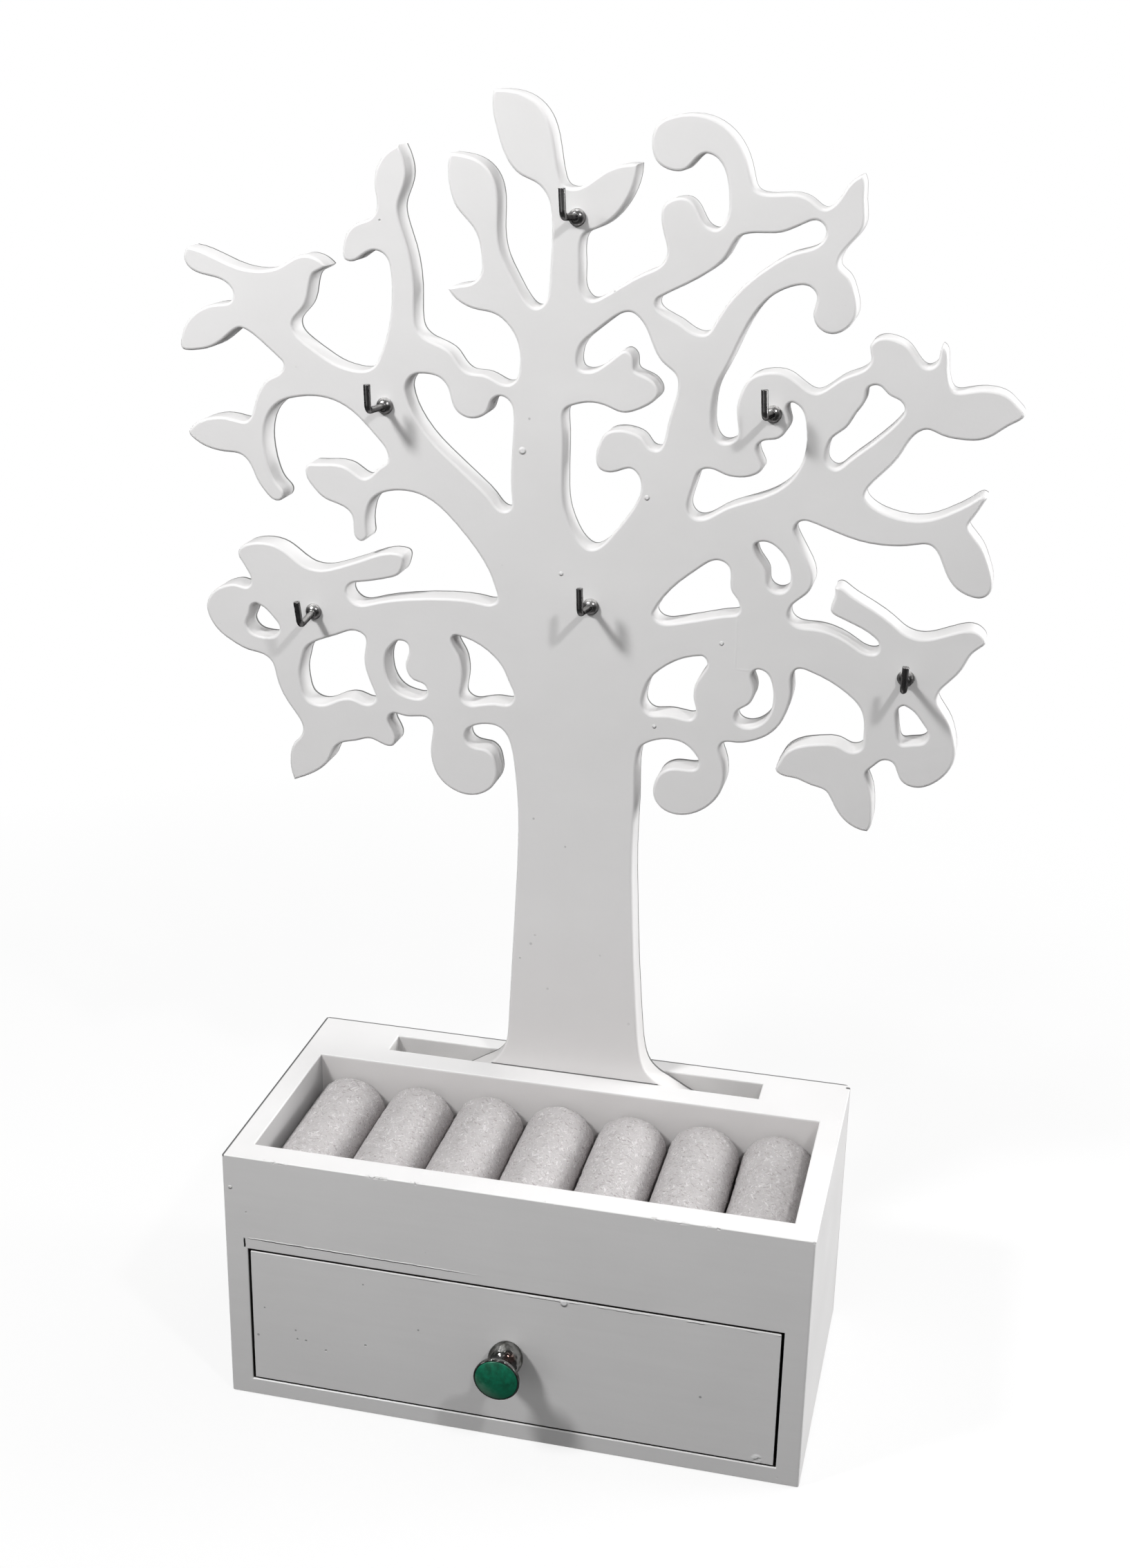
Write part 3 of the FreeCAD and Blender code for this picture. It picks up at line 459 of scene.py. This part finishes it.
def meshFrom(name, points, faces):
    mesh = bpy.data.meshes.new(name)
    mesh.from_pydata([tuple(point) for point in points], [], faces)
    mesh.validate()
    mesh.update()
    return mesh


treeBoard = {"node": "tree_panel", "edgeRadius": 0.9 * mm, "edgeSteps": 4, "smallHole": 10 * mm}


def roundLength(line):
    return np.linalg.norm(line - np.roll(line, 1, 0), axis=1).sum()


def frontLoops(node):               # closed lines of (x, z) round the front face and its holes
    work = bmesh.new()
    work.from_mesh(node.data)
    bmesh.ops.remove_doubles(work, verts=work.verts, dist=1e-6)
    frontY = min(vertex.co.y for vertex in work.verts)
    front = {face for face in work.faces
             if all(abs(vertex.co.y - frontY) < 1e-5 for vertex in face.verts)}
    following = {}
    for face in front:
        for loop in face.loops:
            if not any(other in front for other in loop.edge.link_faces if other is not face):
                following[loop.vert.index] = loop.link_loop_next.vert.index
    places = [vertex.co.copy() for vertex in work.verts]
    work.free()
    loops = []
    while following:
        start, step = following.popitem()
        line = [start]
        while step != start:
            line.append(step)
            step = following.pop(step)
        loops.append(np.array([(places[k].x, places[k].z) for k in line]))
    return [line for line in loops if roundLength(line) > treeBoard["smallHole"]]


def insetLine(line, distance):
    ahead = np.roll(line, -1, 0) - line
    ahead /= np.linalg.norm(ahead, axis=1)[:, None]
    inward = np.stack([-ahead[:, 1], ahead[:, 0]], 1)    # the board is left of every line
    before = np.roll(inward, 1, 0)
    share = 1 + (inward * before).sum(1)
    mitre = (inward + before) / np.maximum(share, 0.35)[:, None]
    moved = line + mitre * distance
    for _ in range(12):    # where the line folds over itself, pull it to one point
        turned = ((np.roll(moved, -1, 0) - moved) * ahead).sum(1) < 0
        if not turned.any():
            break
        for k in np.nonzero(turned)[0]:
            after = (k + 1) % len(moved)
            moved[k] = moved[after] = (moved[k] + moved[after]) / 2
    return moved


def insideLoops(points, loops):              # even-odd test of many points at once
    inside = np.zeros(len(points), bool)
    for line in loops:
        for (x0, z0), (x1, z1) in zip(line, np.roll(line, -1, 0)):
            crosses = (z0 > points[:, 1]) != (z1 > points[:, 1])
            if z0 != z1:
                met = (x1 - x0) * (points[:, 1] - z0) / (z1 - z0) + x0
                inside ^= crosses & (points[:, 0] < met)
    return inside


def makeTreeBoard():
    node = nodes[treeBoard["node"]]
    low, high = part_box(treeBoard["node"])
    loops = frontLoops(node)
    radius, steps = treeBoard["edgeRadius"], treeBoard["edgeSteps"]
    rings = []
    for k in range(steps + 1):
        angle = math.pi / 2 * (1 - k / steps)
        rings.append((radius * (1 - math.cos(angle)), low.y + radius * (1 - math.sin(angle))))
    rings += [(inset, low.y + high.y - y) for inset, y in reversed(rings)]
    points, faces, caps = [], [], ([], [])
    for line in loops:
        count = len(line)
        first = len(points)
        for inset, y in rings:
            points += [(x, y, z) for x, z in insetLine(line, inset)]
        for ring in range(len(rings) - 1):
            a, b = first + ring * count, first + (ring + 1) * count
            faces += [(a + k, b + k, b + (k + 1) % count, a + (k + 1) % count)
                      for k in range(count)]
        caps[0].append((first, count))
        caps[1].append((first + (len(rings) - 1) * count, count))
    flat = []
    for cap in caps:
        index, edges = [], []
        for first, count in cap:
            edges += [(len(index) + k, len(index) + (k + 1) % count) for k in range(count)]
            index += range(first, first + count)
        outline = np.array([(points[k][0], points[k][2]) for k in index])
        found = delaunay_2d_cdt([Vector(p) for p in outline], edges, [], 0, 1e-9)
        corners = np.array([tuple(v) for v in found[0]])
        lines = [outline[sum(c for _, c in cap[:k]):][:cap[k][1]] for k in range(len(cap))]
        middles = np.array([corners[list(face)].mean(0) for face in found[2]])
        keep = insideLoops(middles, lines)
        y = points[cap[0][0]][1]
        base = len(points)
        points += [(x, y, z) for x, z in corners]
        flat += [tuple(base + k for k in face) for face, kept in zip(found[2], keep) if kept]
    mesh = meshFrom("treeBoard", points, faces + flat)
    work = bmesh.new()
    work.from_mesh(mesh)
    bmesh.ops.remove_doubles(work, verts=work.verts, dist=2e-6)
    bmesh.ops.dissolve_degenerate(work, dist=1e-6, edges=work.edges)
    bmesh.ops.recalc_face_normals(work, faces=work.faces)
    work.to_mesh(mesh)
    work.free()
    piece = addPiece("treeBoard", mesh, "tree", "tree", True, 40)
    for face in mesh.polygons:
        face.use_smooth = abs(face.normal.y) < 0.999
    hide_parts(treeBoard["node"])
    return piece


makeTreeBoard()
print("tree board made")


def boxBetween(name, low, high):     # a closed box from corner to corner, in millimetres
    points = [Vector((x, y, z)) * mm for x in (low[0], high[0])
              for y in (low[1], high[1]) for z in (low[2], high[2])]
    faces = [(0, 1, 3, 2), (4, 6, 7, 5), (0, 4, 5, 1), (2, 3, 7, 6), (0, 2, 6, 4), (1, 5, 7, 3)]
    return bpy.data.objects.new(name, meshFrom(name, points, faces))


def settled(piece):                  # its mesh with the modifiers worked out
    depsgraph = bpy.context.evaluated_depsgraph_get()
    mesh = bpy.data.meshes.new_from_object(piece.evaluated_get(depsgraph))
    piece.modifiers.clear()
    return mesh


def soften(piece, width, segments=3, angle=35):
    bevel = piece.modifiers.new("bevel", "BEVEL")
    bevel.width = width
    bevel.segments = segments
    bevel.limit_method = "ANGLE"
    bevel.angle_limit = math.radians(angle)
    bevel.use_clamp_overlap = False


def evenNormals(piece):              # flat faces stay flat beside their rounded edges
    weighted = piece.modifiers.new("normals", "WEIGHTED_NORMAL")
    weighted.mode = "FACE_AREA"
    weighted.weight = 90
    weighted.keep_sharp = True


paintedCase = {
    "outside": ((-100, -52, 0), (100, 52, 95)),
    "corners": (0.8, 0.8, 2.6, 1.3),     # front left, front right, back right, back left
    "cornerSteps": 6,
    "hollows": [
        ((-92, -60, 6.3), (92, 44.5, 59.4)),
        ((-92, -42.7, 63), (92, 23.3, 110)),
        ((-69, 33.1, 63), (69, 44.5, 110)),
    ],
    "edge": 0.35 * mm,
    "nodes": ["side_panel_left", "side_panel_right", "bottom_panel", "divider_panel", "front_rail",
              "tray_back_wall", "slot_block_left", "slot_block_right", "back_panel"],
}


def wornBlock():                     # the outside of the case, its upright corners worn round
    (x0, y0, z0), (x1, y1, z1) = paintedCase["outside"]
    outline = []
    places = ((x0, y0, 1, 1), (x1, y0, -1, 1), (x1, y1, -1, -1), (x0, y1, 1, -1))
    for quarter, ((x, y, inX, inY), radius) in enumerate(zip(places, paintedCase["corners"])):
        for step in range(paintedCase["cornerSteps"] + 1):
            angle = math.pi + math.pi / 2 * (quarter + step / paintedCase["cornerSteps"])
            outline.append((x + radius * (inX + math.cos(angle)),
                            y + radius * (inY + math.sin(angle))))
    count = len(outline)
    points = [Vector((x, y, z)) * mm for z in (z0, z1) for x, y in outline]
    faces = [(k, (k + 1) % count, count + (k + 1) % count, count + k) for k in range(count)]
    faces += [tuple(reversed(range(count))), tuple(range(count, 2 * count))]
    return bpy.data.objects.new("paintedCase", meshFrom("paintedCase", points, faces))


def makePaintedCase():
    shell = wornBlock()
    bpy.context.scene.collection.objects.link(shell)
    cutters = []
    for low, high in paintedCase["hollows"]:
        cutter = boxBetween("hollow", low, high)
        bpy.context.scene.collection.objects.link(cutter)
        cut = shell.modifiers.new("cut", "BOOLEAN")
        cut.operation = "DIFFERENCE"
        cut.solver = "EXACT"
        cut.object = cutter
        cutters.append(cutter)
    soften(shell, paintedCase["edge"])
    bpy.context.view_layer.update()
    mesh = settled(shell)
    for made in cutters + [shell]:
        bpy.data.objects.remove(made)
    case = addPiece("paintedCase", mesh, "case", "case")
    evenNormals(case)
    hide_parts(*paintedCase["nodes"])
    return case


makePaintedCase()
print("painted case made")


carriedOver = {                      # nodes that stay, with their finish and edge rounding in mm
    "drawer_front": ("drawer", 0.25), "drawer_side_left": ("board", 0.35),
    "drawer_side_right": ("board", 0.35), "drawer_back": ("board", 0.35),
    "drawer_bottom": ("board", 0.2), "hook_top": ("hook", 0.25),
    "hook_upper_left": ("hook", 0.25), "hook_upper_right": ("hook", 0.25),
    "hook_centre": ("hook", 0.25), "hook_lower_left": ("hook", 0.25),
    "hook_lower_right": ("hook", 0.25), "knob_screw": ("screw", 0),
}


def dressNodes():
    for name, (finish, edge) in carriedOver.items():
        node = nodes[name]
        for slot in node.material_slots:
            slot.material = finishes[finish]
        if not node.material_slots:
            node.data.materials.append(finishes[finish])
        if edge:
            weld = node.modifiers.new("weld", "WELD")
            weld.merge_threshold = 0.001 * mm
            soften(node, edge * mm)
            evenNormals(node)


dressNodes()
print("carried-over nodes dressed")


ringRoll = {
    "nodes": ["ring_roll_%d" % k for k in range(1, 8)], "around": 112, "along": 120,
    "endRadius": 4.6 * mm, "endSteps": 9, "capSteps": 6, "nap": 0.3 * mm, "swell": 0.3 * mm,
}


def makeRingRoll(name, seed):
    low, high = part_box(name)
    middle = (low + high) / 2
    radius = (high.x - low.x) / 2
    around, endRadius = ringRoll["around"], ringRoll["endRadius"]
    stations = []                                      # (y, how far inside the full radius)
    for step in range(ringRoll["capSteps"]):
        share = step / ringRoll["capSteps"]
        stations.append((0.0, radius - (radius - endRadius) * (0.06 + 0.94 * share)))
    for step in range(ringRoll["endSteps"]):
        angle = math.pi / 2 * step / ringRoll["endSteps"]
        stations.append((endRadius * (1 - math.cos(angle)), endRadius * (1 - math.sin(angle))))
    length = high.y - low.y
    body = [(endRadius + (length - 2 * endRadius) * k / ringRoll["along"], 0.0)
            for k in range(ringRoll["along"] + 1)]
    stations = stations + body + [(length - y, inset) for y, inset in reversed(stations)]
    shift = Vector((seed * 0.37, seed * 0.91, seed * 0.53))
    points, faces = [], []
    for y, inset in stations:
        for k in range(around):
            angle = 2 * math.pi * k / around
            square = 1 - 0.012 * (math.cos(2 * angle) ** 2)
            onSkin = Vector((math.cos(angle) * radius, y, math.sin(angle) * radius))
            nap = noise.fractal(onSkin * 620 + shift, 0.9, 2.1, 3) * ringRoll["nap"]
            swell = (noise.noise(onSkin * 45 + shift) - 0.35) * ringRoll["swell"]
            reach = (radius - inset) * square + min(nap + swell, 0.0) - 0.06 * mm
            reach = max(reach, 0.2 * mm)
            push = 0.0
            if inset > 0:
                push = abs(nap) * (1 if y < length / 2 else -1) * min(inset / endRadius, 1)
            points.append((middle.x + math.cos(angle) * reach, low.y + y + push,
                           middle.z + math.sin(angle) * reach))
    rows = len(stations)
    for row in range(rows - 1):
        for k in range(around):
            after = (k + 1) % around
            faces.append((row * around + k, row * around + after,
                          (row + 1) * around + after, (row + 1) * around + k))
    faces.append(tuple(reversed(range(around))))
    faces.append(tuple((rows - 1) * around + k for k in range(around)))
    roll = addPiece(name.replace("_", "") + "Felt", meshFrom(name + "Felt", points, faces),
                    "felt", "case")
    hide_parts(name)
    return roll


for seed, name in enumerate(ringRoll["nodes"]):
    makeRingRoll(name, seed * 7.3)
print("ring rolls made")


drawerLining = {"node": "drawer_liner", "cell": 1.6 * mm, "nap": 0.3 * mm, "round": 0.5 * mm}


def makeDrawerLining():
    low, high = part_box(drawerLining["node"])
    across = int((high.x - low.x) / drawerLining["cell"])
    deep = int((high.y - low.y) / drawerLining["cell"])
    points, faces = [], []
    for row in range(deep + 1):
        for column in range(across + 1):
            x = low.x + (high.x - low.x) * column / across
            y = low.y + (high.y - low.y) * row / deep
            rim = row in (0, deep) or column in (0, across)
            nap = abs(noise.fractal(Vector((x, y, 0)) * 380, 0.9, 2.1, 3)) * drawerLining["nap"]
            points.append((x, y, high.z - nap - (drawerLining["round"] if rim else 0)))
    wide = across + 1
    faces += [(r * wide + c, r * wide + c + 1, (r + 1) * wide + c + 1, (r + 1) * wide + c)
              for r in range(deep) for c in range(across)]
    edge = ([c for c in range(wide)] + [r * wide + across for r in range(1, deep + 1)]
            + [deep * wide + c for c in range(across - 1, -1, -1)]
            + [r * wide for r in range(deep - 1, 0, -1)])
    first = len(points)
    points += [(points[k][0], points[k][1], low.z) for k in edge]
    count = len(edge)
    faces += [(edge[(k + 1) % count], edge[k], first + k, first + (k + 1) % count)
              for k in range(count)]
    faces.append(tuple(first + k for k in reversed(range(count))))
    lining = addPiece("drawerLining", meshFrom("drawerLining", points, faces),
                      "felt", "drawer")
    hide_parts(drawerLining["node"])


makeDrawerLining()
print("drawer lining made")


knob = {                             # radii and distances out from the drawer front, in mm
    "x": 0.2, "z": 34.8, "front": -52.0, "turns": 96,
    "ballRadius": 5.9, "ballCentre": 4.0, "neck": 3.2, "flareRadius": 4.3, "flareLength": 3.3,
    "capRadius": 7.85, "rimFront": 15.6, "rimThickness": 1.4, "rimEdge": 0.5,
    "faceRadius": 7.25, "faceDome": 1.5, "faceStand": 0.1, "socket": 0.6,
}


def arcThrough(start, through, end, steps):
    (ax, ay), (bx, by), (cx, cy) = start, through, end
    double = 2 * (ax * (by - cy) + bx * (cy - ay) + cx * (ay - by))
    ux = ((ax * ax + ay * ay) * (by - cy) + (bx * bx + by * by) * (cy - ay)
          + (cx * cx + cy * cy) * (ay - by)) / double
    uy = ((ax * ax + ay * ay) * (cx - bx) + (bx * bx + by * by) * (ax - cx)
          + (cx * cx + cy * cy) * (bx - ax)) / double
    radius = math.hypot(ax - ux, ay - uy)
    first, last = math.atan2(ay - uy, ax - ux), math.atan2(cy - uy, cx - ux)
    half = math.atan2(by - uy, bx - ux)
    if not min(first, last) <= half <= max(first, last):
        last += 2 * math.pi * (1 if last < first else -1)
    return [(ux + radius * math.cos(first + (last - first) * k / steps),
             uy + radius * math.sin(first + (last - first) * k / steps)) for k in range(steps + 1)]


def turned(name, profile):           # a profile of (radius, out) in mm, round the knob's axis
    count = knob["turns"]
    points, faces = [], []
    for radius, out in profile:
        for k in range(count):
            angle = 2 * math.pi * k / count
            points.append(((knob["x"] + radius * math.cos(angle)) * mm,
                           (knob["front"] - out) * mm,
                           (knob["z"] + radius * math.sin(angle)) * mm))
    for row in range(len(profile) - 1):
        for k in range(count):
            after = (k + 1) % count
            faces.append((row * count + k, row * count + after,
                          (row + 1) * count + after, (row + 1) * count + k))
    faces.append(tuple(reversed(range(count))))
    faces.append(tuple((len(profile) - 1) * count + k for k in range(count)))
    mesh = meshFrom(name, points, faces)
    work = bmesh.new()
    work.from_mesh(mesh)
    bmesh.ops.recalc_face_normals(work, faces=work.faces)
    work.to_mesh(mesh)
    work.free()
    return mesh


def makeKnob():
    ball, centre, neck = knob["ballRadius"], knob["ballCentre"], knob["neck"]
    waist = centre + math.sqrt(ball ** 2 - neck ** 2)
    foot = math.sqrt(ball ** 2 - centre ** 2)
    capBack = knob["rimFront"] - knob["rimThickness"]
    profile = arcThrough((foot, 0), (ball, centre), (neck, waist), 28)
    profile += arcThrough((neck, waist), (knob["flareRadius"], waist + knob["flareLength"]),
                          (knob["capRadius"] - 0.15, capBack), 20)[1:]
    edge = knob["rimEdge"]
    steps = 6
    for k in range(steps + 1):
        angle = math.pi / 2 * k / steps
        profile.append((knob["capRadius"] - edge * (1 - math.cos(angle)),
                        knob["rimFront"] - edge * (1 - math.sin(angle))))
    profile += [(knob["faceRadius"] + 0.1, knob["rimFront"]),
                (knob["faceRadius"], knob["rimFront"] - 0.1),
                (knob["faceRadius"], knob["rimFront"] - knob["socket"]),
                (2.0, knob["rimFront"] - knob["socket"])]
    body = addPiece("knobChrome", turned("knobChrome", profile), "chrome", "drawer",
                    True, 50)
    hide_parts("knob_body")
    radius, dome = knob["faceRadius"] - 0.04, knob["faceDome"]
    start = knob["rimFront"] - knob["socket"]
    edgeOut = knob["rimFront"] + knob["faceStand"]
    sphere = (radius ** 2 + dome ** 2) / (2 * dome)
    profile = [(2.0, start), (radius, start), (radius, edgeOut - 0.15), (radius - 0.06, edgeOut)]
    steps = 26
    for k in range(1, steps + 1):
        reach = (radius - 0.06) * (1 - k / steps)
        rise = math.sqrt(sphere ** 2 - reach ** 2) - (sphere - dome)
        profile.append((max(reach, 0.05), edgeOut + rise))
    face = addPiece("knobEnamel", turned("knobEnamel", profile), "enamel", "drawer",
                    True, 50)
    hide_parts("knob_face")


makeKnob()
print("knob made")


lights = {
    "key": {"place": (-0.44, -0.45, 0.84), "size": 0.14, "power": 5.5},
    "second": {"place": (0.43, -0.45, 0.82), "size": 0.06, "power": 2.0},
    "over": {"place": (-0.1, 0.08, 1.1), "size": 0.25, "power": 0.45},
    "side": {"place": (1.0, 0.08, 0.8), "size": 0.6, "power": 0.8},
    "right": {"place": (1.2, 0.34, 0.35), "size": 0.5, "power": 11.0},
    "back": {"place": (0.8, 0.9, 0.9), "size": 1.2, "power": 5.4},
    "backHigh": {"place": (0.1, 0.9, 1.0), "size": 1.0, "power": 1.2},
    "low": {"place": (-0.6, -1.2, 0.35), "size": 0.6, "power": 0.8},
}
aimedAt = Vector((0.0, 0.0, 0.18))


def makeLights():
    for name, lamp in lights.items():
        data = bpy.data.lights.new(name, "AREA")
        data.shape = "DISK"
        data.size = lamp["size"]
        data.energy = lamp["power"]
        holder = bpy.data.objects.new(name, data)
        holder.location = lamp["place"]
        aim = aimedAt - Vector(lamp["place"])
        holder.rotation_euler = aim.to_track_quat("-Z", "Y").to_euler()
        bpy.context.scene.collection.objects.link(holder)


ambient = {"diffuse": 0.22, "glossy": 0.12}


def makeWorld():
    world = bpy.data.worlds.new("studio")
    bpy.context.scene.world = world
    world.use_nodes = True
    sky = Finish("", world.node_tree)
    seen = sky.node("ShaderNodeLightPath", output=0)
    glossy = sky.node("ShaderNodeLightPath", output=3)
    white = (1.0, 1.0, 1.0)
    shown = sky.node("ShaderNodeBackground", None, {"Color": white, "Strength": 1.0})
    lit = sky.node("ShaderNodeBackground", None, {"Color": white, "Strength": ambient["diffuse"]})
    mirrored = sky.node("ShaderNodeBackground", None, {
        "Color": white, "Strength": ambient["glossy"]})
    unseen = sky.node("ShaderNodeMixShader", None, {0: glossy, 1: lit, 2: mirrored})
    both = sky.node("ShaderNodeMixShader", None, {0: seen, 1: unseen, 2: shown})
    sky.node("ShaderNodeOutputWorld", None, {"Surface": both})


floor = {"size": 12.0, "low": -0.0003, "near": 0.3, "far": 0.62, "shade": 0.2}


def makeFloor():
    half = floor["size"] / 2
    mesh = meshFrom("floor", [(x, y, floor["low"]) for x, y in
                              ((-half, -half), (half, -half), (half, half), (-half, half))],
                    [(0, 1, 2, 3)])
    piece = bpy.data.objects.new("floor", mesh)
    bpy.context.scene.collection.objects.link(piece)
    finish = Finish("floor")
    place = finish.place()
    x, y, _ = finish.axes(place)
    distance = (x * x + y * y).power(0.5)
    fade = 1 - (distance - floor["near"]) * (1 / (floor["far"] - floor["near"]))
    share = fade.most(0.0).least(1.0) * floor["shade"]
    seen = finish.node("ShaderNodeLightPath", output=0)
    board = finish.node("ShaderNodeBsdfDiffuse", None, {"Color": (0.9, 0.9, 0.9)})
    glow = finish.node("ShaderNodeEmission", None, {"Color": (1.0, 1.0, 1.0), "Strength": 1.0})
    bounce = finish.node("ShaderNodeBsdfDiffuse", None, {"Color": (0.06, 0.06, 0.06)})
    pale = finish.node("ShaderNodeMixShader", None, {0: share, 1: glow, 2: board})
    both = finish.node("ShaderNodeMixShader", None, {0: seen, 1: bounce, 2: pale})
    finish.node("ShaderNodeOutputMaterial", None, {"Surface": both})
    mesh.materials.append(finish.material)


makeLights()
makeWorld()
makeFloor()
bpy.context.scene.view_settings.view_transform = "Standard"
print("lights and floor placed")
